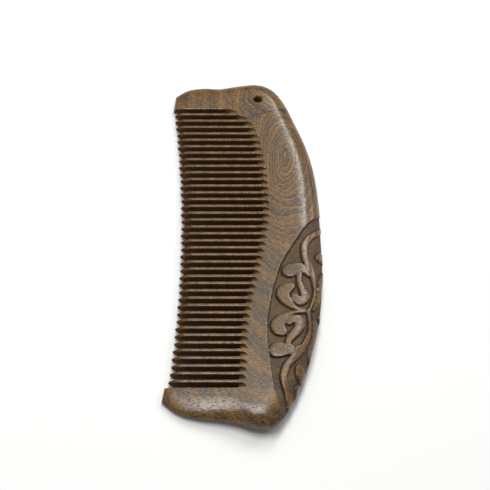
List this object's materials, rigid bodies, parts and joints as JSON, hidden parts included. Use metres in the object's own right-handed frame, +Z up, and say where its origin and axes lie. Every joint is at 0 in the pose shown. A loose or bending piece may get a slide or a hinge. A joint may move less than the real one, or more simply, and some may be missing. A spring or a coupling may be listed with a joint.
{
  "type": "beard comb",
  "caption": "Crescent wooden beard comb: a thick rounded back with a carved scroll field, a row of fine tapered teeth between two end guards, and a drilled cord hole.",
  "frame": {"origin": "middle of the comb's length and width, in the plane of its flat lower face, on which it lies", "axes": "+Y along the comb towards the end with the cord hole, +X across it from the tooth tips to the rounded back, +Z up through the thickness"},
  "size_m": [0.0561, 0.15, 0.013],
  "materials": {
    "back_wood": "oiled and polished, with a carved field",
    "guard_wood": "oiled and polished",
    "tooth_wood": "polished faces, sawn walls"
  },
  "bodies": {
    "root": {"upper_end_guard": "guard_wood", "back": "back_wood", "lower_end_guard": "guard_wood", "tooth_01": "tooth_wood", "tooth_02": "tooth_wood", "tooth_03": "tooth_wood", "tooth_04": "tooth_wood", "tooth_05": "tooth_wood", "tooth_06": "tooth_wood", "tooth_07": "tooth_wood", "tooth_08": "tooth_wood", "tooth_09": "tooth_wood", "tooth_10": "tooth_wood", "tooth_11": "tooth_wood", "tooth_12": "tooth_wood", "tooth_13": "tooth_wood", "tooth_14": "tooth_wood", "tooth_15": "tooth_wood", "tooth_16": "tooth_wood", "tooth_17": "tooth_wood", "tooth_18": "tooth_wood", "tooth_19": "tooth_wood", "tooth_20": "tooth_wood", "tooth_21": "tooth_wood", "tooth_22": "tooth_wood", "tooth_23": "tooth_wood", "tooth_24": "tooth_wood", "tooth_25": "tooth_wood", "tooth_26": "tooth_wood", "tooth_27": "tooth_wood", "tooth_28": "tooth_wood", "tooth_29": "tooth_wood", "tooth_30": "tooth_wood", "tooth_31": "tooth_wood", "tooth_32": "tooth_wood", "tooth_33": "tooth_wood", "tooth_34": "tooth_wood", "tooth_35": "tooth_wood", "tooth_36": "tooth_wood", "tooth_37": "tooth_wood", "tooth_38": "tooth_wood", "tooth_39": "tooth_wood"}
  },
  "joints": []
}
